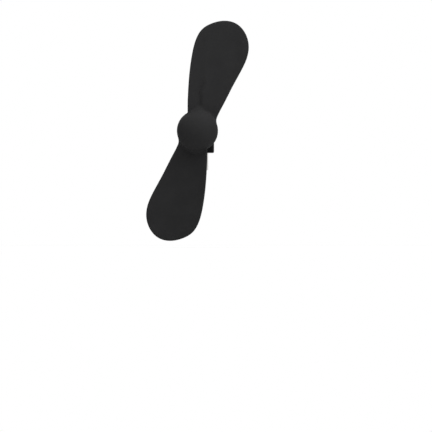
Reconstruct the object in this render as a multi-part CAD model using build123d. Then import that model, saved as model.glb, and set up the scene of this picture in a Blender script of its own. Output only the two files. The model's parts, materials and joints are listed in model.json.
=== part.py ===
from build123d import *
import math
import os

# A small two-bladed fan that plugs into the charging port at the end of a phone.
# Millimetres. The origin is the centre of the neck's lower face, which meets the host's edge.
# Z points up, away from the host. The motor's axis is level along Y, and the propeller is at
# the front, on the -Y side. The plug points down.

# Driving sizes
propeller_diameter = 88.0
hub_diameter = 15.8
neck_width = 12.8
neck_depth = 7.8
plug_width = 8.25
plug_thickness = 2.4
plug_length = 6.65
motor_width = 12.0
motor_height = 10.0
motor_length = 15.0
motor_reach = 10.6
shaft_diameter = 1.5

# Clearances and overruns
cut_overrun = 1.0
shell_fit = 0.05
motor_fit = 0.1
board_fit = 0.1
plug_fit = 0.1
insulator_fit = 0.02
running_fit = 0.03
grip_fit = 0.02
rotor_gap = 0.25
core_gap = 0.15
end_play = 0.1
brush_gap = 0.03
propeller_gap = 1.0

# Housing walls, rounds and ribs
barrel_wall = 1.4
front_wall = 1.4
rear_wall = 1.2
rear_room = 3.6
front_round = 1.0
rear_round = 4.3
neck_wall = 1.2
neck_floor = 1.2
neck_corner = 2.4
cavity_corner = 0.7
shoulder_round = 0.5
tongue_length = 1.0
tongue_thickness = 0.6
rib_thickness = 0.8
rib_spacing = 4.2
clip_reach = 0.8
clip_height = 0.8
clip_length = 1.3
stop_width = 1.4
stop_height = 1.2
joint_line_width = 0.3
joint_line_depth = 0.15

# Motor: can, magnets, bushes and end cap
can_wall = 0.5
boss_diameter = 4.0
boss_length = 0.8
bush_diameter = 3.0
front_bush_length = 1.8
rear_bush_length = 2.2
magnet_thickness = 0.9
magnet_front_setback = 0.7
magnet_rear_setback = 2.2
magnet_edge_gap = 0.3
cap_thickness = 1.6
cap_boss_length = 1.0
cap_fit = 0.03
terminal_thickness = 0.3
terminal_width = 1.8
terminal_reach = 1.8
terminal_place_share = 0.73
brush_thickness = 0.2
brush_length = 2.0

# Rotor: core, windings, commutator and washers
core_setback = 3.2
commutator_setback = 1.9
core_hub_share = 0.37
shoe_thickness_share = 0.15
pole_neck_share = 0.32
shoe_spread = 98.0
pole_count = 3
winding_thickness_share = 0.25
winding_overhang = 0.8
winding_gap = 0.05
commutator_diameter = 3.6
segment_thickness = 0.35
segment_length = 2.0
segment_slot = 12.0
washer_thickness = 0.2
washer_diameter = 2.8
spacer_diameter = 2.4
shaft_chamfer = 0.15

# Circuit board and what is soldered to it
board_thickness = 0.8
resistor_length = 1.0
resistor_width = 0.5
resistor_height = 0.35
capacitor_length = 1.6
capacitor_width = 0.8
capacitor_height = 0.8
part_setback = 0.9
part_gap = 0.15

# Plug
shell_wall = 0.3
mouth_round = 0.2
slot_end_wall = 0.425
slot_side_wall = 0.4
slot_depth = 5.0
insulator_setback = 0.2
leg_width = 0.8
leg_place_share = 0.82
leg_overshoot = 0.3
contact_end_gap = 0.65
contact_count = 12
contact_width = 0.25
contact_thickness = 0.12
contact_rise = 0.05
contact_setback = 0.6
channel_fit = 0.02
latch_thickness = 0.15
latch_width = 0.5
latch_rise = 0.08

# Leads and solder
lead_diameter = 0.8
lead_room = 1.4
lead_spacing = 1.8
lead_gap = 0.15
lead_start = 1.2
lead_bend = 1.2
lead_clearance = 0.5
joint_diameter = 1.4
joint_top_diameter = 0.8
joint_height_share = 0.78
terminal_joint_diameter = 1.3
lead_corner_share = 0.62

# Propeller: hub, insert and blades
hub_depth = 12.0
dome_depth = 5.8
hub_wall = 1.6
hub_rib_thickness = 0.9
hub_rib_count = 6
hub_rib_setback = 2.4
hub_boss_diameter = 6.4
hub_boss_setback = 0.6
insert_diameter = 3.8
insert_length = 7.2
insert_end = 0.8
insert_flange_diameter = 5.0
insert_flange_thickness = 0.8
blade_root_thickness = 1.6
blade_tip_thickness = 1.2
blade_root_pitch = 30.0
blade_tip_pitch = 18.0
blade_camber = 1.5
blade_edge_round = 0.5
blade_edge_limit_share = 0.45

# How far forward of the hub's rear face the blades stand, as a share of the hub's depth
blade_plane_share = 0.40

# The blade's outline seen from the front, as shares of the propeller's radius: across from
# the axis, and out along the blade
blade_centre_root_share = 0.05
blade_centre_tip_share = 0.235
blade_strip_share = 0.30
blade_station_shares = (-0.04, 0.24, 0.50, 0.76, 1.02)
blade_straight_shares = ((0.157, 0.080), (0.123, 0.0), (-0.087, 0.0), (-0.087, 0.250))
blade_curve_shares = (
    (-0.087, 0.250),
    (-0.075, 0.460),
    (-0.048, 0.668),
    (-0.013, 0.800),
    (0.043, 0.890),
    (0.132, 0.942),
    (0.240, 0.963),
    (0.337, 0.940),
    (0.412, 0.867),
    (0.450, 0.734),
    (0.435, 0.641),
    (0.380, 0.519),
    (0.304, 0.379),
    (0.224, 0.222),
    (0.183, 0.143),
    (0.157, 0.080),
)

# Places worked out from the sizes above
propeller_radius = propeller_diameter / 2
hub_radius = hub_diameter / 2
shaft_radius = shaft_diameter / 2
motor_radius = motor_width / 2
bore_radius = motor_radius + motor_fit
barrel_radius = bore_radius + barrel_wall
motor_front = -motor_reach
motor_rear = motor_front + motor_length
barrel_front = motor_front - front_wall
inside_rear = motor_rear + rear_room
barrel_rear = inside_rear + rear_wall
hub_rear = barrel_front - propeller_gap
hub_front = hub_rear - hub_depth
can_inside_radius = motor_radius - can_wall
can_inside_height = motor_height - 2 * can_wall
magnet_radius = can_inside_radius - magnet_thickness
core_radius = min(magnet_radius - rotor_gap, can_inside_height / 2 - core_gap)
core_hub_radius = core_radius * core_hub_share
shoe_inside_radius = core_radius * (1 - shoe_thickness_share)
pole_neck_width = core_radius * pole_neck_share
winding_thickness = core_radius * winding_thickness_share
cap_front = motor_rear - cap_thickness
front_bush_front = motor_front - boss_length
front_bush_rear = front_bush_front + front_bush_length
washer_front = front_bush_rear + end_play
segment_rear = cap_front - end_play - washer_thickness
segment_front = segment_rear - segment_length
core_front = motor_front + core_setback
core_rear = segment_front - commutator_setback
shaft_rear = cap_front + rear_bush_length
insert_rear = hub_rear - hub_boss_setback
insert_front = insert_rear - insert_length
shaft_front = insert_front + insert_end + end_play
terminal_place = can_inside_radius * terminal_place_share
slot_width = plug_width - 2 * (shell_wall + slot_end_wall)
slot_height = plug_thickness - 2 * (shell_wall + slot_side_wall)
contact_pitch = (slot_width - 2 * contact_end_gap) / (contact_count - 1)
cavity_width = neck_width - 2 * neck_wall
cavity_depth = neck_depth - 2 * neck_wall
board_width = cavity_width - 2 * board_fit
board_depth = cavity_depth - 2 * board_fit
board_top = neck_floor + board_thickness
motor_under = board_top + lead_room
axis_height = motor_under + motor_height / 2
lead_height = motor_under - lead_gap - lead_diameter / 2
lead_rear = motor_rear + lead_clearance + lead_diameter / 2
blade_plane = hub_rear - hub_depth * blade_plane_share


def block(x_range, y_range, z_range):
    """A block between two values along each axis."""
    sides = [high - low for low, high in (x_range, y_range, z_range)]
    middle = [(low + high) / 2 for low, high in (x_range, y_range, z_range)]
    return Pos(*middle) * Box(*sides)


def rod(radius, y_low, y_high):
    """A round bar on the motor's axis."""
    middle = Pos(0, (y_low + y_high) / 2, axis_height)
    return middle * Rot(90, 0, 0) * Cylinder(radius, y_high - y_low)


def tube(radius, hole_radius, y_low, y_high):
    """A round tube on the motor's axis."""
    return rod(radius, y_low, y_high) - rod(hole_radius, y_low, y_high)


def rounded_rod(radius, y_low, y_high, low_round, high_round):
    """A round bar on the motor's axis, with rounded rims."""
    bar = rod(radius, y_low, y_high)
    for rim, rim_round in ((0, low_round), (-1, high_round)):
        if rim_round > 0:
            bar = fillet(bar.edges().filter_by(GeomType.CIRCLE).sort_by(Axis.Y)[rim], rim_round)
    return bar


def along_axis(outline, y_low, y_high):
    """An outline drawn across and up from the motor's axis, carried along that axis."""
    face_plane = Plane(origin=(0, y_high, axis_height), x_dir=(1, 0, 0), z_dir=(0, -1, 0))
    return extrude(face_plane * outline, y_high - y_low)


def flat_sided(radius, height, y_low, y_high):
    """A bar on the motor's axis, round at the sides and flat above and below."""
    return along_axis(Circle(radius) & Rectangle(2 * radius, height), y_low, y_high)


def sector(inner_radius, outer_radius, middle_angle, spread):
    """A piece of a flat ring, drawn round the motor's axis."""
    start = middle_angle - spread / 2
    outer_arc = CenterArc((0, 0), outer_radius, start, spread)
    inner_arc = CenterArc((0, 0), inner_radius, start, spread)
    sides = [Line(outer_arc @ end, inner_arc @ end) for end in (0, 1)]
    return make_face([outer_arc, inner_arc, *sides])


def upright(outline, z_low, z_high):
    """An outline drawn on the level, carried upwards."""
    return Pos(0, 0, z_low) * extrude(outline, z_high - z_low)


def pair(make_one):
    """The right-hand and left-hand copies of a piece, made for side 1 and side -1."""
    return Compound(children=[make_one(side) for side in (1, -1)])


def save(name, shape):
    export_step(shape, f"parts/{name}.step")


# Housing


def housing_outside():
    """The barrel round the motor with the neck below it, before the housing is split."""
    barrel = rounded_rod(barrel_radius, barrel_front, barrel_rear, front_round, rear_round)
    neck = upright(RectangleRounded(neck_width, neck_depth, neck_corner), 0, axis_height)
    neck = fillet(neck.edges().group_by(Axis.Z)[0], shoulder_round)
    return barrel + neck


def housing_inside():
    """The bore that takes the motor, and the neck's cavity below it."""
    bore = rounded_rod(bore_radius, motor_front, inside_rear, 0, rear_round - rear_wall)
    cavity = RectangleRounded(cavity_width, cavity_depth, cavity_corner)
    return bore + upright(cavity, neck_floor, axis_height)


def plug_opening():
    """The hole in the neck's floor that the plug comes through."""
    outline = SlotOverall(plug_width + 2 * plug_fit, plug_thickness + 2 * plug_fit)
    return upright(outline, -cut_overrun, neck_floor + cut_overrun)


def front_outline(inset):
    """The housing seen from the front, drawn inwards all round by the inset."""
    height = axis_height - inset
    neck = RectangleRounded(neck_width - 2 * inset, height, shoulder_round - inset)
    return Circle(barrel_radius - inset) + Pos(0, -height / 2) * neck


def joint_line():
    """The fine groove round the housing where its shells meet."""
    ring = front_outline(-cut_overrun) - front_outline(joint_line_depth)
    return along_axis(ring, -joint_line_width / 2, joint_line_width / 2)


def joint_ring(fit):
    """The lip round the inside of the joint between the shells, or with a fit, its rebate."""
    depth = axis_height - neck_floor
    margin = tongue_thickness + fit
    inside = Circle(bore_radius) + Pos(0, -depth / 2) * Rectangle(cavity_width, depth)
    outside = Circle(bore_radius + margin)
    outside += Pos(0, -(depth + margin) / 2) * Rectangle(cavity_width + 2 * margin, depth + margin)
    return along_axis(outside - inside, -tongue_length - fit, 0)


def motor_rib(side, level, y_low, y_high):
    """A rib in the bore that bears on one of the motor's flats."""
    low, high = sorted((level * (motor_height / 2 + shell_fit), level * bore_radius))
    near, far = sorted((side * rib_spacing / 2, side * (rib_spacing / 2 + rib_thickness)))
    return block((near, far), (y_low, y_high), (axis_height + low, axis_height + high))


def board_clip(side, y_low, y_high):
    """A ledge over the circuit board's end."""
    near, far = sorted((side * (cavity_width / 2 - clip_reach), side * cavity_width / 2))
    bottom = board_top + shell_fit
    return block((near, far), (y_low, y_high), (bottom, bottom + clip_height))


def motor_stop(level):
    """A rib on the rear wall that keeps the motor from moving back."""
    near = can_inside_height / 2 - stop_height
    low, high = sorted((level * near, level * (near + stop_height)))
    z_range = (axis_height + low, axis_height + high)
    return block((-stop_width / 2, stop_width / 2), (motor_rear + shell_fit, inside_rear), z_range)


def front_shell():
    shell = split(housing_outside(), Plane.XZ, keep=Keep.TOP)
    shell -= housing_inside()
    shell -= joint_ring(shell_fit)
    shell -= joint_line()
    shell -= rod(boss_diameter / 2 + motor_fit, barrel_front - cut_overrun, motor_front)
    shell -= plug_opening()
    rib_end = -tongue_length - 2 * shell_fit
    for side in (1, -1):
        shell += motor_rib(side, 1, motor_front, rib_end)
        shell += motor_rib(side, -1, motor_front, -neck_depth / 2)
        shell += board_clip(side, -cavity_depth / 2, -cavity_depth / 2 + clip_length)
    return shell


def rear_shell():
    shell = split(housing_outside(), Plane.XZ, keep=Keep.BOTTOM)
    shell -= housing_inside()
    shell += joint_ring(0)
    shell -= joint_line()
    shell -= plug_opening()
    for side in (1, -1):
        shell += motor_rib(side, 1, 0, motor_rear)
        shell += board_clip(side, cavity_depth / 2 - clip_length, cavity_depth / 2)
        shell += motor_stop(side)
        shell -= lead(side, shell_fit)
    return shell


# Motor


def motor_can():
    can = flat_sided(motor_radius, motor_height, motor_front, motor_rear)
    can -= flat_sided(can_inside_radius, can_inside_height, motor_front + can_wall, motor_rear)
    can += rod(boss_diameter / 2, front_bush_front, motor_front)
    return can - rod(bush_diameter / 2, front_bush_front, motor_front + can_wall)


def bush(y_low, length):
    return tube(bush_diameter / 2, shaft_radius + running_fit, y_low, y_low + length)


def magnet(side):
    """A curved magnet against the can's wall, to one side of the rotor."""
    y_low = motor_front + can_wall + magnet_front_setback
    y_high = cap_front - magnet_rear_setback
    ring = tube(can_inside_radius, magnet_radius, y_low, y_high)
    near, far = sorted((0, side * can_inside_radius))
    half_height = can_inside_height / 2 - magnet_edge_gap
    z_range = (axis_height - half_height, axis_height + half_height)
    return ring & block((near, far), (y_low, y_high), z_range)


def terminal(side):
    """A flat tag through the end cap, which a lead is soldered to."""
    near = side * terminal_place - terminal_thickness / 2
    y_range = (cap_front - brush_thickness, motor_rear + terminal_reach)
    z_range = (axis_height - terminal_width / 2, axis_height + terminal_width / 2)
    return block((near, near + terminal_thickness), y_range, z_range)


def motor_end_cap():
    cap_radius = can_inside_radius - cap_fit
    cap = flat_sided(cap_radius, can_inside_height - 2 * cap_fit, cap_front, motor_rear)
    cap += rod(boss_diameter / 2, motor_rear, motor_rear + cap_boss_length)
    cap -= rod(bush_diameter / 2, cap_front, motor_rear + cap_boss_length)
    return cap - terminal(1) - terminal(-1)


def brush(side):
    """A leaf along the end cap from the tag, bent forward to rub on the commutator."""
    inner = commutator_diameter / 2 + brush_gap
    outer = terminal_place - terminal_thickness / 2
    z_range = (axis_height - terminal_width / 2, axis_height + terminal_width / 2)
    leaf_x = sorted((side * inner, side * (inner + brush_thickness)))
    base_x = sorted((side * inner, side * outer))
    leaf = block(leaf_x, (cap_front - brush_length, cap_front), z_range)
    return leaf + block(base_x, (cap_front - brush_thickness, cap_front), z_range)


# Rotor


def motor_shaft():
    shaft = rod(shaft_radius, shaft_front, shaft_rear)
    return chamfer(shaft.edges().filter_by(GeomType.CIRCLE), shaft_chamfer)


def pole_angles():
    """The direction of each of the rotor's poles, the first one up."""
    return [90 + 360 * pole / pole_count for pole in range(pole_count)]


def pole_neck(angle, length):
    return Rot(0, 0, angle) * Pos(length / 2, 0) * Rectangle(length, pole_neck_width)


def rotor_core():
    outline = Circle(core_hub_radius)
    for angle in pole_angles():
        outline += pole_neck(angle, (shoe_inside_radius + core_radius) / 2)
        outline += sector(shoe_inside_radius, core_radius, angle, shoe_spread)
    return along_axis(outline - Circle(shaft_radius), core_front, core_rear)


def rotor_windings():
    """One coil round the neck of each pole."""
    y_low = core_front - winding_overhang
    y_high = core_rear + winding_overhang
    near = core_hub_radius + winding_gap
    far = shoe_inside_radius - winding_gap
    width = pole_neck_width + 2 * winding_thickness
    coils = []
    for angle in pole_angles():
        around = Rot(0, 0, angle) * Pos((near + far) / 2, 0) * Rectangle(far - near, width)
        coil = along_axis(around & Circle(far), y_low, y_high)
        coils.append(coil - along_axis(pole_neck(angle, core_radius), core_front, core_rear))
    return Compound(children=coils)


def commutator_segments():
    outer = commutator_diameter / 2
    spread = 360 / pole_count - segment_slot
    segments = []
    for angle in pole_angles():
        outline = sector(outer - segment_thickness, outer, angle, spread)
        segments.append(along_axis(outline, segment_front, segment_rear))
    return Compound(children=segments)


def commutator_sleeve():
    outer = commutator_diameter / 2 - segment_thickness
    return tube(outer, shaft_radius, core_rear, segment_rear)


def rotor_spacer():
    return tube(spacer_diameter / 2, shaft_radius, washer_front + washer_thickness, core_front)


def thrust_washers():
    places = (washer_front, segment_rear)
    rings = [tube(washer_diameter / 2, shaft_radius, y, y + washer_thickness) for y in places]
    return Compound(children=rings)


# Circuit board, plug and leads


def plug_leg(side, level, fit):
    """A tag of the plug's shell that goes up through the board, or with a fit, its slot."""
    middle = side * leg_place_share * (plug_width - plug_thickness) / 2
    reach = leg_width / 2 + fit
    inner = plug_thickness / 2 - shell_wall - fit
    outer = plug_thickness / 2 + fit
    y_range = sorted((level * inner, level * outer))
    x_range = (middle - reach, middle + reach)
    return block(x_range, y_range, (neck_floor, board_top + leg_overshoot))


def circuit_board():
    board = upright(RectangleRounded(board_width, board_depth, cavity_corner), neck_floor, board_top)
    for side in (1, -1):
        for level in (1, -1):
            board -= plug_leg(side, level, shell_fit)
    return board


def board_part(length, width, height, x):
    """A small component on the board's top, near its front edge."""
    middle = -board_depth / 2 + part_setback
    y_range = (middle - width / 2, middle + width / 2)
    return block((x - length / 2, x + length / 2), y_range, (board_top, board_top + height))


def cc_resistor(side):
    place = capacitor_length / 2 + part_gap + resistor_length / 2
    return board_part(resistor_length, resistor_width, resistor_height, side * place)


def filter_capacitor():
    return board_part(capacitor_length, capacitor_width, capacitor_height, 0)


def plug_shell():
    outline = SlotOverall(plug_width, plug_thickness)
    inside = SlotOverall(plug_width - 2 * shell_wall, plug_thickness - 2 * shell_wall)
    shell = upright(outline, -plug_length, neck_floor)
    shell = fillet(shell.edges().group_by(Axis.Z)[0], mouth_round)
    shell -= upright(inside, -plug_length, neck_floor)
    for side in (1, -1):
        for level in (1, -1):
            shell += plug_leg(side, level, 0)
    return shell


def contact(place, level, fit):
    """A gold strip beside the plug's slot, or with a fit, its channel in the insulator."""
    middle = (place - (contact_count - 1) / 2) * contact_pitch
    near = slot_height / 2 - contact_rise
    y_range = sorted((level * near, level * (near + contact_thickness)))
    reach = contact_width / 2 + fit
    bottom = -plug_length + contact_setback
    return block((middle - reach, middle + reach), y_range, (bottom, neck_floor))


def latch(side, fit):
    """A spring strip at an end of the plug's slot, or with a fit, its channel."""
    near = slot_width / 2 - latch_rise
    x_range = sorted((side * near, side * (near + latch_thickness)))
    reach = latch_width / 2 + fit
    return block(x_range, (-reach, reach), (-plug_length + contact_setback, neck_floor))


def all_contacts(fit):
    return [contact(place, level, fit) for level in (1, -1) for place in range(contact_count)]


def plug_insulator():
    width = plug_width - 2 * shell_wall - 2 * insulator_fit
    height = plug_thickness - 2 * shell_wall - 2 * insulator_fit
    mouth = -plug_length + insulator_setback
    body = upright(SlotOverall(width, height), mouth, neck_floor)
    y_range = (-slot_height / 2, slot_height / 2)
    body -= block((-slot_width / 2, slot_width / 2), y_range, (mouth, mouth + slot_depth))
    body -= all_contacts(channel_fit)
    return body - [latch(1, channel_fit), latch(-1, channel_fit)]


def lead_points(side):
    """A lead's route: back under the motor, out to the side, then up to its tag."""
    near = side * lead_spacing / 2
    far = side * terminal_place
    corner_height = axis_height - bore_radius * lead_corner_share
    return [
        (near, lead_start, lead_height),
        (near, lead_rear, lead_height),
        (far, lead_rear, corner_height),
        (far, lead_rear, axis_height - terminal_width / 2),
    ]


def lead(side, fit):
    """A covered lead along its route, or with a fit, the room for it."""
    route = FilletPolyline(*lead_points(side), radius=(lead_bend, lead_bend))
    radius = lead_diameter / 2 + fit
    solid = sweep(Plane(origin=route @ 0, z_dir=route % 0) * Circle(radius), path=route)
    expected = math.pi * radius**2 * route.length
    print(f"lead {side}: length {route.length:.2f}, volume {solid.volume:.3f} of {expected:.3f}")
    return solid


leads = {side: lead(side, 0) for side in (1, -1)}


def board_joint(side):
    """Solder that holds a lead's end on the board."""
    height = (lead_height + lead_diameter / 2 - board_top) * joint_height_share
    cone = Cone(joint_diameter / 2, joint_top_diameter / 2, height)
    return Pos(side * lead_spacing / 2, lead_start, board_top + height / 2) * cone - leads[side]


def terminal_joint(side):
    """Solder that holds a lead's end on the motor's tag."""
    place = Pos(side * terminal_place, lead_rear, axis_height - terminal_width / 2)
    return place * Sphere(terminal_joint_diameter / 2) - leads[side] - terminal(side)


# Propeller


def insert_solid():
    """The insert's outside: a bush with a flange that locks it into the hub."""
    flange_rear = insert_front + insert_flange_thickness
    bush_part = rod(insert_diameter / 2, insert_front, insert_rear)
    return bush_part + rod(insert_flange_diameter / 2, insert_front, flange_rear)


def hub_insert():
    return insert_solid() - rod(shaft_radius + grip_fit, insert_front + insert_end, insert_rear)


def hub_outside():
    """The hub's skirt and its domed front."""
    dome_start = hub_front + dome_depth
    dome = EllipticalCenterArc((0, dome_start), hub_radius, dome_depth, -90, arc_size=90)
    skirt = Polyline(dome @ 1, (hub_radius, hub_rear), (0, hub_rear), dome @ 0)
    return Pos(0, 0, axis_height) * revolve(make_face([dome, skirt]), Axis.Y)


def hub_hollow():
    inner_round = dome_depth - hub_wall
    return rounded_rod(hub_radius - hub_wall, hub_front + hub_wall, hub_rear, inner_round, 0)


def hub_core():
    """The boss round the insert, and the ribs from it to the skirt."""
    core = rod(hub_boss_diameter / 2, hub_front + hub_wall, insert_rear)
    rib_rear = insert_rear - hub_rib_setback
    rib = Pos(hub_radius / 2, 0) * Rectangle(hub_radius, hub_rib_thickness)
    for place in range(hub_rib_count):
        outline = Rot(0, 0, 360 * place / hub_rib_count) * rib
        core += along_axis(outline, hub_front + hub_wall, rib_rear)
    return core & hub_hollow()


def blade_section(station):
    """The blade's thin cross-section on a level at this share of the propeller's radius."""
    first, last = blade_station_shares[0], blade_station_shares[-1]
    along = (station - first) / (last - first)
    pitch = blade_root_pitch + (blade_tip_pitch - blade_root_pitch) * along
    thickness = blade_root_thickness + (blade_tip_thickness - blade_root_thickness) * along
    centre_share = blade_centre_root_share
    centre_share += (blade_centre_tip_share - blade_centre_root_share) * along
    centre = propeller_radius * centre_share
    reach = propeller_radius * blade_strip_share
    rise = reach * math.tan(math.radians(pitch))
    half = thickness / 2 / math.cos(math.radians(pitch))
    faces = []
    for offset in (-half, half):
        y = blade_plane + offset
        points = (centre - reach, y - rise), (centre, y + blade_camber), (centre + reach, y + rise)
        faces.append(ThreePointArc(*points))
    ends = [Line(faces[0] @ end, faces[1] @ end) for end in (0, 1)]
    level = Plane.XY.offset(axis_height + propeller_radius * station)
    return level * make_face([*faces, *ends])


def blade_outline():
    """The blade seen from the front: straight at the root, and round at the tip."""
    straight = [(propeller_radius * x, propeller_radius * z) for x, z in blade_straight_shares]
    curve = [(propeller_radius * x, propeller_radius * z) for x, z in blade_curve_shares]
    return make_face([Polyline(*straight), Spline(*curve)])


def blade():
    """The upper blade: a twisted, hollowed strip trimmed to the blade's outline, with round edges."""
    strip = loft([blade_section(station) for station in blade_station_shares])
    trim = along_axis(blade_outline(), hub_front - cut_overrun, barrel_front + cut_overrun)
    plate = strip & trim
    rims = [edge for face in plate.faces().sort_by(SortBy.AREA)[-2:] for edge in face.edges()]
    return fillet(rims, min(blade_edge_round, blade_tip_thickness * blade_edge_limit_share))


def propeller():
    to_axis = Pos(0, 0, axis_height)
    upper = blade()
    lower = to_axis * Rot(0, 180, 0) * Pos(0, 0, -axis_height) * upper
    return hub_outside() + upper + lower - hub_hollow() + hub_core() - insert_solid()


os.makedirs("parts", exist_ok=True)
save("front_shell", front_shell())
save("rear_shell", rear_shell())
save("motor_can", motor_can())
save("front_bush", bush(front_bush_front, front_bush_length))
save("rear_bush", bush(cap_front, rear_bush_length))
save("magnet_right", magnet(1))
save("magnet_left", magnet(-1))
save("motor_end_cap", motor_end_cap())
save("motor_terminals", pair(terminal))
save("brush_right", brush(1))
save("brush_left", brush(-1))
save("motor_shaft", motor_shaft())
save("rotor_core", rotor_core())
save("rotor_windings", rotor_windings())
save("rotor_spacer", rotor_spacer())
save("commutator_sleeve", commutator_sleeve())
save("commutator_segments", commutator_segments())
save("thrust_washers", thrust_washers())
save("circuit_board", circuit_board())
save("cc_resistors", pair(cc_resistor))
save("filter_capacitor", filter_capacitor())
save("plug_shell", plug_shell())
save("plug_insulator", plug_insulator())
save("plug_contacts", Compound(children=all_contacts(0)))
save("plug_latches", Compound(children=[latch(1, 0), latch(-1, 0)]))
save("lead_positive", leads[1])
save("lead_negative", leads[-1])
save("board_joints", pair(board_joint))
save("terminal_joints", pair(terminal_joint))
save("propeller", propeller())
save("hub_insert", hub_insert())
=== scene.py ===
import json
import math
from dataclasses import dataclass

import bpy
import numpy as np
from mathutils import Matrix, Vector


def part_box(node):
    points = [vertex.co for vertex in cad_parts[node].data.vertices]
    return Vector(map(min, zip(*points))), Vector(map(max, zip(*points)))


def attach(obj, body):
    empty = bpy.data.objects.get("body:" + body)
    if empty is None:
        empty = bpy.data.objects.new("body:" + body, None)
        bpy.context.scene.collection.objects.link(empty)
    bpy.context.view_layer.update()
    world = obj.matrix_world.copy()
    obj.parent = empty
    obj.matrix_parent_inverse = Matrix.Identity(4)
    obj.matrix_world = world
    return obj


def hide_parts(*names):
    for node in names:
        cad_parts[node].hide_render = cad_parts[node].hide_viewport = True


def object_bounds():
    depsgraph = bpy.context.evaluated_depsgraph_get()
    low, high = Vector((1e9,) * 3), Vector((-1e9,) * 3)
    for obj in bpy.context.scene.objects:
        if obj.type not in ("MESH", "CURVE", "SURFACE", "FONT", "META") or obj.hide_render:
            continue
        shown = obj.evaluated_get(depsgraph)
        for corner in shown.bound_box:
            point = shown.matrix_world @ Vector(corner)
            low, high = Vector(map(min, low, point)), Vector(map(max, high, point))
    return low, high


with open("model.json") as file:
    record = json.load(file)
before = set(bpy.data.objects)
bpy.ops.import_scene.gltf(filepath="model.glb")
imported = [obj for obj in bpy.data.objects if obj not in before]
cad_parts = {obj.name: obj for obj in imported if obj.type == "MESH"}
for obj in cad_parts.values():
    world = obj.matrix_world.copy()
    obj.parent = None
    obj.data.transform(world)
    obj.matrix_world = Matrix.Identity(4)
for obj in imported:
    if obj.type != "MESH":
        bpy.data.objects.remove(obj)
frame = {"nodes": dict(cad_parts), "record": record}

# A small plug-in fan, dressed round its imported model. Its propeller is made here as one soft
# moulding, in millimetres, with heights from the motor's axis. All else is in metres, apart from
# the sizes of the materials' patterns, which are millimetres too.

cad_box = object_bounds()
MM = 0.001


# Sizes read from the frame: boxes and axis_z in metres, the others in millimetres

propeller_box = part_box("propeller")
shaft_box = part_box("motor_shaft")
insert_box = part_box("hub_insert")
axis_z = (shaft_box[0].z + shaft_box[1].z) / 2
axis_height = axis_z / MM
hub_front = propeller_box[0].y / MM
propeller_rear = propeller_box[1].y / MM
insert_front = insert_box[0].y / MM
insert_rear = insert_box[1].y / MM
flange_radius = (insert_box[1].x - insert_box[0].x) / 2 / MM
box_reach = np.array([propeller_box[1].x, propeller_box[1].z - axis_z]) / MM

# Propeller sizes, in millimetres
PROPELLER_RADIUS = 44.0
HUB_DEPTH = 12.0
HUB_RADIUS = 7.9
DOME_DEPTH = 5.8
HUB_WALL = 1.6
HUB_RIM_ROUND = 0.3
BOSS_RADIUS = 3.2
RIB_THICKNESS = 0.9
RIB_COUNT = 6
RIB_SETBACK = 3.0
RIB_FILLET = 0.5
INSERT_RADIUS = 1.9
FLANGE_THICKNESS = 0.8
INSERT_GAP = 0.03
BLADE_PLANE = 4.8
ROOT_THICKNESS = 1.6
TIP_THICKNESS = 1.2
ROOT_PITCH = 30.0
TIP_PITCH = 18.0
CAMBER = 1.5
EDGE_ROUND = 0.55
TRIM = 0.04

# The fillet between the hub and a blade: small at the blade's straight rim, larger on its faces and
# at its flared rim, and largest where a short gusset runs from the dome up the blade
STRAIGHT_RIM_FILLET = 0.5
FLARED_RIM_FILLET = 1.2
RIM_CHANGE = (-1.0, 3.0)
FACE_FILLET = 1.1
FACE_FILLET_REACH = 3.0
GUSSET_FILLET = 1.9
GUSSET_PLACE = 0.9
GUSSET_WIDTH = 1.5

# The shallow crease that the gusset runs out into, on the upper blade alone. It goes straight up
# the blade and then leans over, and its two ends fade out. The first three are the heights that
# each change starts and ends at.
CREASE_RISE = (7.8, 10.0)
CREASE_FALL = (17.0, 21.0)
CREASE_TURN = (13.0, 20.0)
CREASE_PLACE = 0.45
CREASE_LEAN = 1.7
CREASE_WIDTH = 1.15
CREASE_DEPTH = 0.75

# A blade from the front, as shares of the propeller's radius: the twisted strip that it is cut from,
# with the place of its centre line, half its width and the heights that its twist runs between, and
# then the outline that it is cut to, with the root's two corners and the points of its curve
CENTRE_ROOT_SHARE = 0.05
CENTRE_TIP_SHARE = 0.235
STRIP_SHARE = 0.30
STATION_FIRST_SHARE = -0.04
STATION_LAST_SHARE = 1.02
ROOT_SHARES = ((0.123, 0.0), (-0.087, 0.0))
CURVE_SHARES = (
    (-0.087, 0.250),
    (-0.075, 0.460),
    (-0.048, 0.668),
    (-0.013, 0.800),
    (0.043, 0.890),
    (0.132, 0.942),
    (0.240, 0.963),
    (0.337, 0.940),
    (0.412, 0.867),
    (0.450, 0.734),
    (0.435, 0.641),
    (0.380, 0.519),
    (0.304, 0.379),
    (0.224, 0.222),
    (0.183, 0.143),
    (0.157, 0.080),
)

# How finely the propeller is sampled, with lengths in millimetres
GRID_STEP = 0.3
GRID_MARGIN = 1.2
MAP_STEP = 0.1
MAP_MARGIN = 3.0
CURVE_STEPS = 8
PROBE = 0.02
LARGEST_MOVE = 0.12
SETTLING_ROUNDS = 3
LEAST_STEEPNESS = 0.25

# Places along the motor's axis, in millimetres
hub_rear = hub_front + HUB_DEPTH
blade_plane = hub_rear - BLADE_PLANE
dome_start = hub_front + DOME_DEPTH


# Field helpers: distances in millimetres, negative inside


def rounded_both(a, b, radius):
    """The space inside both fields, with the edge between them rounded."""
    outside = np.hypot(np.maximum(a + radius, 0), np.maximum(b + radius, 0))
    return np.minimum(np.maximum(a + radius, b + radius), 0) + outside - radius


def filleted_either(a, b, reach):
    """The space inside either field, with the corner between them filled."""
    blend = np.maximum(reach - np.abs(a - b), 0) / reach
    return np.minimum(a, b) - blend**2 * reach / 4


def eased(value, start, end):
    """A smooth step from 0 at the start to 1 at the end."""
    share = np.clip((value - start) / (end - start), 0, 1)
    return share * share * (3 - 2 * share)


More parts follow.
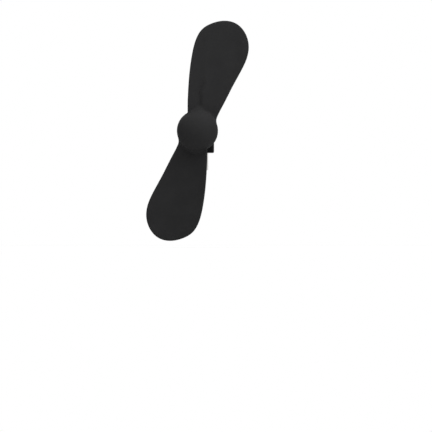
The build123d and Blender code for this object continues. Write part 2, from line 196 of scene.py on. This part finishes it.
def smooth_points(points, steps):
    """Points along the cubic curve through the given ones whose bend changes evenly."""
    known = np.array(points, float)
    runs = np.hypot(*np.diff(known, axis=0).T)
    count = len(known)
    system = np.eye(count)
    wanted = np.zeros((count, 2))
    for place in range(1, count - 1):
        before, after = runs[place - 1], runs[place]
        system[place, place - 1 : place + 2] = before, 2 * (before + after), after
        turn = (known[place + 1] - known[place]) / after - (known[place] - known[place - 1]) / before
        wanted[place] = 6 * turn
    bends = np.linalg.solve(system, wanted)
    found = []
    for place, run in enumerate(runs):
        gone = np.linspace(0, run, steps, endpoint=False)[:, None]
        left = run - gone
        curve = (bends[place] * left**3 + bends[place + 1] * gone**3) / (6 * run)
        curve = curve + (known[place] / run - bends[place] * run / 6) * left
        found.append(curve + (known[place + 1] / run - bends[place + 1] * run / 6) * gone)
    return np.vstack([*found, known[-1:]])


def distance_to_segment(x, z, start, end):
    """How far each point is from the straight line between two ends."""
    along = np.array(end) - np.array(start)
    share = ((x - start[0]) * along[0] + (z - start[1]) * along[1]) / (along @ along)
    share = np.clip(share, 0, 1)
    return np.hypot(x - start[0] - share * along[0], z - start[1] - share * along[1])


def outline_map():
    """The blade's outline as signed distances on a fine level grid."""
    curve = smooth_points(np.array(CURVE_SHARES) * PROPELLER_RADIUS, CURVE_STEPS)
    root = np.array(ROOT_SHARES) * PROPELLER_RADIUS
    loop = np.vstack([curve, root])
    low = loop.min(0) - MAP_MARGIN
    counts = np.ceil((loop.max(0) + MAP_MARGIN - low) / MAP_STEP).astype(int) + 1
    sides = [low[axis] + MAP_STEP * np.arange(counts[axis]) for axis in (0, 1)]
    x, z = np.meshgrid(*sides, indexing="ij")
    nearest = np.full(x.shape, np.inf)
    inside = np.zeros(x.shape, bool)
    for start, end in zip(loop, np.roll(loop, -1, axis=0)):
        nearest = np.minimum(nearest, distance_to_segment(x, z, start, end))
        if start[1] != end[1]:
            crossing = start[0] + (z - start[1]) * (end[0] - start[0]) / (end[1] - start[1])
            inside ^= ((start[1] > z) != (end[1] > z)) & (x < crossing)
    return low, np.where(inside, -nearest, nearest) + TRIM


map_low, map_values = outline_map()


def outline_at(x, z):
    """The signed distance to the blade's outline, read between the map's points."""
    last = np.array(map_values.shape) - 1
    column = np.clip((x - map_low[0]) / MAP_STEP, 0, last[0])
    row = np.clip((z - map_low[1]) / MAP_STEP, 0, last[1])
    i = np.minimum(column.astype(int), last[0] - 1)
    j = np.minimum(row.astype(int), last[1] - 1)
    right = column - i
    up = row - j
    low_side = map_values[i, j] * (1 - right) + map_values[i + 1, j] * right
    high_side = map_values[i, j + 1] * (1 - right) + map_values[i + 1, j + 1] * right
    return low_side * (1 - up) + high_side * up


# The propeller's field


def blade_field(x, y, z, crease_depth):
    """A twisted, hollowed strip trimmed to the outline, and the distance to that outline."""
    along = (z / PROPELLER_RADIUS - STATION_FIRST_SHARE) / (STATION_LAST_SHARE - STATION_FIRST_SHARE)
    along = np.clip(along, 0, 1)
    slope = np.tan(np.radians(ROOT_PITCH + (TIP_PITCH - ROOT_PITCH) * along))
    centre = PROPELLER_RADIUS * (CENTRE_ROOT_SHARE + (CENTRE_TIP_SHARE - CENTRE_ROOT_SHARE) * along)
    half_width = PROPELLER_RADIUS * STRIP_SHARE
    across = (x - centre) / half_width
    middle = blade_plane + (x - centre) * slope + CAMBER * (1 - across**2)
    lean = slope - 2 * CAMBER * across / half_width
    half_thickness = (ROOT_THICKNESS + (TIP_THICKNESS - ROOT_THICKNESS) * along) / 2
    sheet = np.abs(y - middle) / np.hypot(1, lean) - half_thickness
    aside = x - CREASE_PLACE - CREASE_LEAN * eased(z, *CREASE_TURN)
    fade = eased(z, *CREASE_RISE) * (1 - eased(z, *CREASE_FALL))
    crease = crease_depth * fade * np.exp(-((aside / CREASE_WIDTH) ** 2))
    sheet = sheet + np.where(y < middle, crease, 0)
    outline = outline_at(x, z)
    return rounded_both(sheet, outline, EDGE_ROUND), outline


def add_blade(solid, x, y, z, crease_depth):
    """The hub's field with one blade filleted to it."""
    blade, outline = blade_field(x, y, z, crease_depth)
    rim = STRAIGHT_RIM_FILLET + (FLARED_RIM_FILLET - STRAIGHT_RIM_FILLET) * eased(x, *RIM_CHANGE)
    reach = rim + (FACE_FILLET - rim) * eased(-outline, 0, FACE_FILLET_REACH)
    gusset = np.exp(-(((x - GUSSET_PLACE) / GUSSET_WIDTH) ** 2))
    reach = reach + (GUSSET_FILLET - FACE_FILLET) * gusset
    return filleted_either(solid, blade, reach)


def hub_outside_field(out, y):
    """The hub's skirt and its domed front, where out is the distance from the axis."""
    forward = np.minimum(y - dome_start, 0)
    scaled = np.hypot(out / HUB_RADIUS, forward / DOME_DEPTH)
    steepness = np.hypot(out / HUB_RADIUS**2, forward / DOME_DEPTH**2)
    dome = scaled * (scaled - 1) / np.maximum(steepness, 1 / HUB_RADIUS / HUB_RADIUS)
    return rounded_both(dome, y - hub_rear, HUB_RIM_ROUND)


def hub_hollow_field(out, y):
    """The space inside the skirt and the dome."""
    return rounded_both(out - (HUB_RADIUS - HUB_WALL), hub_front + HUB_WALL - y, DOME_DEPTH - HUB_WALL)


def hub_core_field(x, y, z, out):
    """The boss round the insert, and the ribs from it to the skirt."""
    core = np.maximum(out - BOSS_RADIUS, y - insert_rear)
    rib_rear = hub_rear - RIB_SETBACK
    for place in range(RIB_COUNT):
        turn = 2 * math.pi * place / RIB_COUNT
        aside = np.abs(x * math.sin(turn) - z * math.cos(turn)) - RIB_THICKNESS / 2
        outward = -(x * math.cos(turn) + z * math.sin(turn))
        rib = np.maximum(np.maximum(aside, outward), y - rib_rear)
        core = filleted_either(core, rib, RIB_FILLET)
    return core


def insert_field(out, y):
    """The room for the insert and its flange, open at the rear."""

    def drum(radius, rear):
        return np.maximum(np.maximum(out - radius, insert_front - y), y - rear)

    bush = drum(INSERT_RADIUS, insert_rear + HUB_WALL)
    flange = drum(flange_radius, insert_front + FLANGE_THICKNESS)
    return np.minimum(bush, flange) - INSERT_GAP


def propeller_field(x, y, z):
    """The hub with its two blades, less its hollow and the room for its insert."""
    out = np.hypot(x, z)
    solid = hub_outside_field(out, y)
    solid = add_blade(solid, x, y, z, CREASE_DEPTH)
    solid = add_blade(solid, -x, y, -z, crease_depth=0)
    hollow = np.maximum(hub_hollow_field(out, y), -hub_core_field(x, y, z, out))
    solid = np.maximum(solid, -hollow)
    return np.maximum(solid, -insert_field(out, y))


# Mesh making


def surface_mesh(values):
    """Points and four-sided faces on the zero level of a grid of values, in grid steps.

    Each grid edge that crosses the level gives a face between the four cells round it, and each
    cell's point is the mean of the crossings on its edges.
    """
    cells = tuple(count - 1 for count in values.shape)
    total = np.zeros((*cells, 3))
    hits = np.zeros(cells)
    crossings = []
    for axis in range(3):
        low = np.take(values, range(values.shape[axis] - 1), axis)
        high = np.take(values, range(1, values.shape[axis]), axis)
        found = np.argwhere((low < 0) != (high < 0))
        start = low[tuple(found.T)]
        end = high[tuple(found.T)]
        place = found.astype(float)
        place[:, axis] += start / (start - end)
        sides = [other for other in range(3) if other != axis]
        inner = np.all([(found[:, side] > 0) & (found[:, side] < cells[side]) for side in sides], axis=0)
        found, start, place = found[inner], start[inner], place[inner]
        corners = []
        for back in ((1, 1), (0, 1), (0, 0), (1, 0)):
            cell = found.copy()
            cell[:, sides[0]] -= back[0]
            cell[:, sides[1]] -= back[1]
            np.add.at(total, tuple(cell.T), place)
            np.add.at(hits, tuple(cell.T), 1)
            corners.append(cell)
        crossings.append((axis, start < 0, corners))
    used = np.argwhere(hits > 0)
    number = np.full(cells, -1)
    number[tuple(used.T)] = np.arange(len(used))
    points = total[tuple(used.T)] / hits[tuple(used.T)][:, None]
    faces = []
    for axis, leaving, corners in crossings:
        quads = np.stack([number[tuple(cell.T)] for cell in corners], axis=1)
        flip = leaving == (axis == 1)
        quads[flip] = quads[flip][:, ::-1]
        faces.append(quads)
    return points, np.vstack(faces)


def settled(points, field):
    """The points moved onto the field's zero level."""
    for _ in range(SETTLING_ROUNDS):
        here = field(*points.T)
        slope = np.empty_like(points)
        for axis in range(3):
            ahead = points.copy()
            behind = points.copy()
            ahead[:, axis] += PROBE
            behind[:, axis] -= PROBE
            slope[:, axis] = (field(*ahead.T) - field(*behind.T)) / (2 * PROBE)
        steepness = np.maximum((slope**2).sum(1), LEAST_STEEPNESS)
        move = np.clip(here / steepness, -LARGEST_MOVE, LARGEST_MOVE)
        points = points - slope * move[:, None]
    return points


def new_piece(name, points, faces):
    """A smooth-shaded object with these points, in metres, and faces."""
    mesh = bpy.data.meshes.new(name)
    mesh.from_pydata(points.tolist(), [], faces.tolist())
    mesh.shade_smooth()
    mesh.update()
    piece = bpy.data.objects.new(name, mesh)
    bpy.context.scene.collection.objects.link(piece)
    return piece


def make_propeller():
    """The soft moulding, as one closed mesh."""
    low = np.array([-box_reach[0], hub_front, -box_reach[1]]) - GRID_MARGIN
    high = np.array([box_reach[0], propeller_rear, box_reach[1]]) + GRID_MARGIN
    axes = [np.arange(low[axis], high[axis] + GRID_STEP, GRID_STEP) for axis in range(3)]
    values = propeller_field(*np.meshgrid(*axes, indexing="ij"))
    points, faces = surface_mesh(values)
    points = settled(low + points * GRID_STEP, propeller_field)
    points[:, 2] += axis_height
    return new_piece("soft_propeller", points * MM, faces)


propeller = make_propeller()
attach(propeller, "propeller")
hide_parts("propeller")


# Materials
#
# Each slot of the record has one finish: a colour with lighter and darker patches, a fine grain that also
# lifts the surface, and edges that handling has changed; on the soft moulding the edges are darkened,
# partly as polish and partly as painted shade on its rims. Pattern sizes are millimetres.


@dataclass
class Finish:
    colour: tuple
    roughness: float
    metallic: float = 0.0
    specular: float = 0.3
    patch_size: float = 3.0
    patch_tone: float = 0.08
    patch_depth: float = 0.0
    grain: str = "speckle"
    grain_size: float = 0.3
    grain_tone: float = 0.05
    grain_depth: float = 0.004
    edge_reach: float = 0.15
    # The colour's factor at edges: above 1 for lighter wear, below 1 for painted shade on the soft
    # moulding's rims
    edge_wear_and_shade_tone: float = 1.25
    coat: float = 0.0


def metal(colour, roughness, **changes):
    """The finish of a bare metal."""
    return Finish(colour, roughness, metallic=1.0, **changes)


STEEL = (0.60, 0.60, 0.59)
FINISHES = {
    # The soft moulding's edge factor below 1 is painted shade on its rims, partly polish from handling
    "soft_black": Finish((0.024, 0.024, 0.0245), 0.7, specular=0.015, patch_size=6.0, patch_depth=0.01,
                         grain_size=0.35, grain_tone=0.04, edge_reach=0.3, edge_wear_and_shade_tone=0.85),
    "housing_black": Finish((0.004, 0.004, 0.0042), 0.3, specular=0.035, patch_size=5.0, patch_tone=0.15,
                            grain_size=0.25, grain_depth=0.003, edge_wear_and_shade_tone=2.2),
    "plug_steel": metal((0.62, 0.61, 0.59), 0.26, grain="drawn_z", grain_size=0.08, grain_depth=0.002),
    "plug_plastic": Finish((0.012, 0.012, 0.012), 0.5, grain_size=0.15),
    "contact_gold": metal((0.83, 0.62, 0.25), 0.22, grain="drawn_z", grain_size=0.05, grain_depth=0.001),
    "spring_steel": metal(STEEL, 0.25, grain="drawn_z", grain_size=0.06, grain_depth=0.001),
    "board_green": Finish((0.02, 0.13, 0.06), 0.35, grain="weave", grain_size=0.4, grain_tone=0.12,
                          edge_reach=0.1, edge_wear_and_shade_tone=2.0, coat=0.3),
    "resistor_black": Finish((0.03, 0.03, 0.035), 0.55, patch_size=0.5, edge_reach=0.05),
    "capacitor_tan": Finish((0.42, 0.29, 0.18), 0.5, patch_size=0.6, edge_reach=0.05),
    "solder_tin": metal((0.68, 0.68, 0.70), 0.3, patch_size=0.5, patch_tone=0.2, patch_depth=0.01),
    "lead_red": Finish((0.50, 0.02, 0.02), 0.45, patch_size=1.5, grain_size=0.2),
    "lead_black": Finish((0.02, 0.02, 0.02), 0.45, patch_size=1.5, grain_size=0.2),
    "can_steel": metal(STEEL, 0.3, grain="drawn_y", grain_size=0.1, grain_depth=0.002),
    "bush_bronze": metal((0.50, 0.33, 0.18), 0.4, patch_size=0.8, patch_tone=0.15, grain_size=0.08,
                         grain_tone=0.25, grain_depth=0.006),
    "magnet_grey": Finish((0.06, 0.06, 0.065), 0.6, patch_size=1.2, patch_tone=0.12, grain_size=0.12,
                          grain_tone=0.1, edge_wear_and_shade_tone=1.6),
    "cap_plastic": Finish((0.80, 0.80, 0.77), 0.5, patch_tone=0.03, grain_size=0.2, edge_wear_and_shade_tone=1.05),
    "terminal_brass": metal((0.70, 0.55, 0.28), 0.3, grain="drawn_y", grain_size=0.06, grain_depth=0.001),
    "brush_metal": metal((0.72, 0.50, 0.30), 0.3, grain="drawn_y", grain_size=0.06, grain_depth=0.001),
    "shaft_steel": metal((0.62, 0.62, 0.63), 0.2, grain="turned", grain_size=0.12, grain_depth=0.0005),
    "core_iron": metal((0.30, 0.30, 0.31), 0.4, grain="turned", grain_size=0.35, grain_tone=0.3,
                       grain_depth=0.02),
    "winding_copper": metal((0.55, 0.22, 0.09), 0.3, grain="wound", grain_size=0.16, grain_tone=0.25,
                            grain_depth=0.03, coat=0.4),
    "segment_copper": metal((0.72, 0.40, 0.25), 0.3, grain="turned", grain_size=0.1, grain_tone=0.15),
    "sleeve_plastic": Finish((0.06, 0.05, 0.04), 0.5, grain_size=0.15),
    "washer_plastic": Finish((0.75, 0.72, 0.62), 0.45, patch_tone=0.03, grain_size=0.15, edge_wear_and_shade_tone=1.05),
    "insert_plastic": Finish((0.78, 0.78, 0.75), 0.45, patch_tone=0.03, grain_size=0.2, edge_wear_and_shade_tone=1.05),
}

# A drawn grain is this many times longer than it is wide
DRAWN_LENGTH = 14.0
UNSTRETCHED = (1, 1, 1)
GRAIN_STRETCH = {
    "speckle": UNSTRETCHED,
    "drawn_y": (1, DRAWN_LENGTH, 1),
    "drawn_z": (1, 1, DRAWN_LENGTH),
}

# The noise texture's levels that stand for the darkest and the lightest of its spots, and how many
# finer layers of noise it adds
SPOT_LEVELS = (0.25, 0.75)
GRAIN_DETAIL = 3.0
PATCH_DETAIL = 2.0

# The wave texture's scale that sets bands one unit apart, and how far the bands stray
BAND_SCALE = math.pi / 10
BAND_STRAY = 0.3

# How closely a softened normal matches the true one where an edge starts, and at its sharpest
EDGE_MATCH = (0.985, 0.80)
EDGE_SAMPLES = 6

# Edge wear, and on the soft moulding painted shade, comes and goes along an edge, in spots this many
# times as large as its reach, down to this share
WEAR_AND_SHADE_SPOTS = 4
LEAST_WEAR_AND_SHADE = 0.4

# How much the patches change the roughness either way, and how much the edges' polish takes off it, as
# shares
ROUGHNESS_CHANGE = 0.25
EDGE_POLISH = 0.2

# Every pattern goes from its darkest or lowest to its lightest or highest over this range
PATTERN_RANGE = (-1.0, 1.0)


def add(tree, kind, inputs, **settings):
    """A new node, with its settings, and its inputs set to values or linked to outputs."""
    made = tree.nodes.new("ShaderNode" + kind)
    for name, value in settings.items():
        setattr(made, name, value)
    for name, value in inputs.items():
        if isinstance(value, bpy.types.NodeSocket):
            tree.links.new(value, made.inputs[name])
        else:
            made.inputs[name].default_value = value
    return made


def maths(tree, operation, *values):
    """The result of a sum on numbers or outputs."""
    return add(tree, "Math", dict(enumerate(values)), operation=operation).outputs[0]


def remap(tree, value, old=(0.0, 1.0), new=(0.0, 1.0), **settings):
    """The value carried from its old range to a new one, and kept inside that."""
    limits = {"From Min": old[0], "From Max": old[1], "To Min": new[0], "To Max": new[1]}
    return add(tree, "MapRange", {"Value": value, **limits}, **settings).outputs[0]


def coordinates(tree, stretch=UNSTRETCHED):
    """The piece's own coordinates in millimetres from the motor's axis, divided by a stretch."""
    place = add(tree, "TexCoord", {}).outputs["Object"]
    scale = [1 / MM / share for share in stretch]
    shift = (0, 0, -axis_height / stretch[2])
    return add(tree, "Mapping", {"Vector": place, "Scale": scale, "Location": shift}).outputs[0]


def speckle(tree, size, stretch=UNSTRETCHED, detail=GRAIN_DETAIL):
    """Noise from -1 to 1 with spots of this size."""
    inputs = {"Vector": coordinates(tree, stretch), "Scale": 1 / size, "Detail": detail}
    spots = add(tree, "TexNoise", inputs).outputs[0]
    return remap(tree, spots, SPOT_LEVELS, PATTERN_RANGE)


def bands(tree, pitch, direction):
    """Bands from -1 to 1 across one axis."""
    inputs = {"Vector": coordinates(tree), "Scale": BAND_SCALE / pitch, "Distortion": BAND_STRAY}
    wave = add(tree, "TexWave", inputs, bands_direction=direction).outputs[1]
    return remap(tree, wave, new=PATTERN_RANGE)


def rings(tree, pitch):
    """Rings from -1 to 1 round the motor's axis."""
    inputs = {"Vector": coordinates(tree), "Scale": BAND_SCALE / pitch}
    wave = add(tree, "TexWave", inputs, wave_type="RINGS", rings_direction="Y").outputs[1]
    return remap(tree, wave, new=PATTERN_RANGE)


def grain_pattern(tree, kind, size):
    """A finish's fine grain, from -1 to 1."""
    if kind == "weave":
        return maths(tree, "MAXIMUM", bands(tree, size, "X"), bands(tree, size, "Y"))
    if kind == "turned":
        return bands(tree, size, "Y")
    if kind == "wound":
        return rings(tree, size)
    return speckle(tree, size, GRAIN_STRETCH[kind])


def edge_mask(tree, reach):
    """1 at the piece's sharp edges, and 0 away from them."""
    softened = add(tree, "Bevel", {"Radius": reach * MM}, samples=EDGE_SAMPLES).outputs[0]
    true = add(tree, "NewGeometry", {}).outputs["Normal"]
    match = add(tree, "VectorMath", {0: softened, 1: true}, operation="DOT_PRODUCT").outputs["Value"]
    mask = remap(tree, match, EDGE_MATCH)
    wear_and_shade_spots = remap(tree, speckle(tree, WEAR_AND_SHADE_SPOTS * reach), PATTERN_RANGE, (LEAST_WEAR_AND_SHADE, 1.0))
    return maths(tree, "MULTIPLY", mask, wear_and_shade_spots)


def lift(tree, height, depth, below=None):
    """The surface's normal, changed by a height from -1 to 1 times a depth."""
    inputs = {"Height": height, "Distance": depth / 2 * MM}
    if below is not None:
        inputs["Normal"] = below
    return add(tree, "Bump", inputs).outputs[0]


def make_material(name, finish):
    """A material with its finish worked out in nodes."""
    material = bpy.data.materials.new(name)
    material.use_nodes = True
    tree = material.node_tree
    shader = tree.nodes["Principled BSDF"]
    shader.inputs["Metallic"].default_value = finish.metallic
    shader.inputs["Specular IOR Level"].default_value = finish.specular
    shader.inputs["Coat Weight"].default_value = finish.coat

    patches = speckle(tree, finish.patch_size, detail=PATCH_DETAIL)
    grain = grain_pattern(tree, finish.grain, finish.grain_size)
    edges = edge_mask(tree, finish.edge_reach)

    tone = maths(tree, "MULTIPLY_ADD", patches, finish.patch_tone, 1.0)
    tone = maths(tree, "MULTIPLY_ADD", grain, finish.grain_tone, tone)
    # Edges scale the colour: lighter wear on most finishes, painted shade on the soft moulding's rims
    tone = maths(tree, "MULTIPLY", tone, remap(tree, edges, new=(1.0, finish.edge_wear_and_shade_tone)))
    colour = add(tree, "VectorMath", {0: finish.colour, "Scale": tone}, operation="SCALE").outputs[0]
    tree.links.new(colour, shader.inputs["Base Color"])

    change = maths(tree, "MULTIPLY", patches, ROUGHNESS_CHANGE)
    change = maths(tree, "MULTIPLY_ADD", edges, -EDGE_POLISH, change)
    roughness = remap(tree, change, PATTERN_RANGE, (0.0, 2 * finish.roughness))
    tree.links.new(roughness, shader.inputs["Roughness"])

    normal = lift(tree, grain, finish.grain_depth)
    if finish.patch_depth > 0:
        normal = lift(tree, patches, finish.patch_depth, normal)
    tree.links.new(normal, shader.inputs["Normal"])
    return material


def dress(piece, material):
    """Give the piece this material alone."""
    piece.data.materials.clear()
    piece.data.materials.append(material)


materials = {slot: make_material(slot, finish) for slot, finish in FINISHES.items()}
for part in frame["record"]["subparts"]:
    dress(frame["nodes"][part["node"]], materials[part["material_slot"]])
dress(propeller, materials["soft_black"])


# Stage, lamps and camera

WHITE = (1, 1, 1, 1)
FLOOR_GAP = 0.0025
FLOOR_REACH = 6.0
FLOOR_COLOUR = (0.65, 0.65, 0.65, 1)
FLOOR_ROUGHNESS = 0.9

# The world is white where the view shows it, and lights the object at this level
WORLD_LEVEL = 0.03

# The floor glows white where the view shows it. From the near reach inwards its glow is this share,
# so that the rest takes light and shadow from the lamps, and from the far reach outwards it is whole.
NEAR_GLOW = 0.8
NEAR_REACH = 0.08
FAR_REACH = 0.40

# Each lamp's direction from the hub, in degrees from the viewer's side towards the right and
# upwards, then its width in metres and its power in watts
LAMP_DISTANCE = 0.6
LAMPS = {
    "top_box": (0, 95, 0.6, 3.2),
    "left_box": (-40, 65, 0.6, 2.4),
    "right_box": (55, 40, 0.4, 2.5),
    "back_box": (180, 40, 0.6, 1.0),
}

# The camera looks straight at the front, at a view as wide as the photograph's and placed as there
VIEW_WIDTH = 0.1660
VIEW_X = 0.00713
VIEW_Z = -0.02436
CAMERA_DISTANCE = 3.0
SENSOR = 36.0

hub_place = Vector((0, blade_plane * MM, axis_z))


def background_rays(tree):
    """A value that is 1 on rays that show the background: seen, reflected or through glass."""
    path = add(tree, "LightPath", {})
    shown = maths(tree, "MAXIMUM", path.outputs["Is Camera Ray"], path.outputs["Is Glossy Ray"])
    return maths(tree, "MAXIMUM", shown, path.outputs["Is Transmission Ray"])


def make_floor():
    """A pale floor just below the object."""
    level = cad_box[0].z - FLOOR_GAP
    corners = ((-1, -1), (1, -1), (1, 1), (-1, 1))
    points = np.array([(x * FLOOR_REACH, y * FLOOR_REACH, level) for x, y in corners])
    floor = new_piece("floor", points, np.array([[0, 1, 2, 3]]))
    material = bpy.data.materials.new("floor")
    material.use_nodes = True
    tree = material.node_tree
    shader = tree.nodes["Principled BSDF"]
    shader.inputs["Base Color"].default_value = FLOOR_COLOUR
    shader.inputs["Roughness"].default_value = FLOOR_ROUGHNESS
    glow = add(tree, "Emission", {"Color": WHITE})
    place = add(tree, "TexCoord", {}).outputs["Object"]
    flat = add(tree, "VectorMath", {0: place, 1: (1, 1, 0)}, operation="MULTIPLY").outputs[0]
    out = add(tree, "VectorMath", {0: flat}, operation="LENGTH").outputs["Value"]
    reaches = (NEAR_REACH, FAR_REACH)
    share = remap(tree, out, reaches, (NEAR_GLOW, 1.0), interpolation_type="SMOOTHSTEP")
    share = maths(tree, "MULTIPLY", share, background_rays(tree))
    mix = add(tree, "MixShader", {0: share, 1: shader.outputs[0], 2: glow.outputs[0]})
    tree.links.new(mix.outputs[0], tree.nodes["Material Output"].inputs["Surface"])
    dress(floor, material)


def make_world():
    """An even light from all round, with a white background."""
    world = bpy.data.worlds.new("studio")
    world.use_nodes = True
    tree = world.node_tree
    shader = tree.nodes["Background"]
    shader.inputs["Color"].default_value = WHITE
    strength = remap(tree, background_rays(tree), new=(WORLD_LEVEL, 1.0))
    tree.links.new(strength, shader.inputs["Strength"])
    bpy.context.scene.world = world


def make_lamp(name, azimuth, elevation, width, power):
    """A square soft lamp that faces the hub."""
    lamp = bpy.data.lights.new(name, "AREA")
    lamp.size = width
    lamp.energy = power
    turn = math.radians(azimuth)
    rise = math.radians(elevation)
    outward = (math.sin(turn) * math.cos(rise), -math.cos(turn) * math.cos(rise), math.sin(rise))
    holder = bpy.data.objects.new(name, lamp)
    holder.location = hub_place + Vector(outward) * LAMP_DISTANCE
    holder.rotation_euler = Vector(outward).to_track_quat("Z", "Y").to_euler()
    bpy.context.scene.collection.objects.link(holder)


def make_camera():
    """A camera far off in front, with a long lens."""
    camera = bpy.data.cameras.new("camera")
    camera.sensor_width = SENSOR
    camera.lens = SENSOR * CAMERA_DISTANCE / VIEW_WIDTH
    holder = bpy.data.objects.new("camera", camera)
    holder.location = (VIEW_X, blade_plane * MM - CAMERA_DISTANCE, VIEW_Z)
    holder.rotation_euler = (math.pi / 2, 0, 0)
    bpy.context.scene.collection.objects.link(holder)
    bpy.context.scene.camera = holder


make_floor()
make_world()
for name, setting in LAMPS.items():
    make_lamp(name, *setting)
make_camera()
bpy.context.scene.view_settings.view_transform = "Standard"
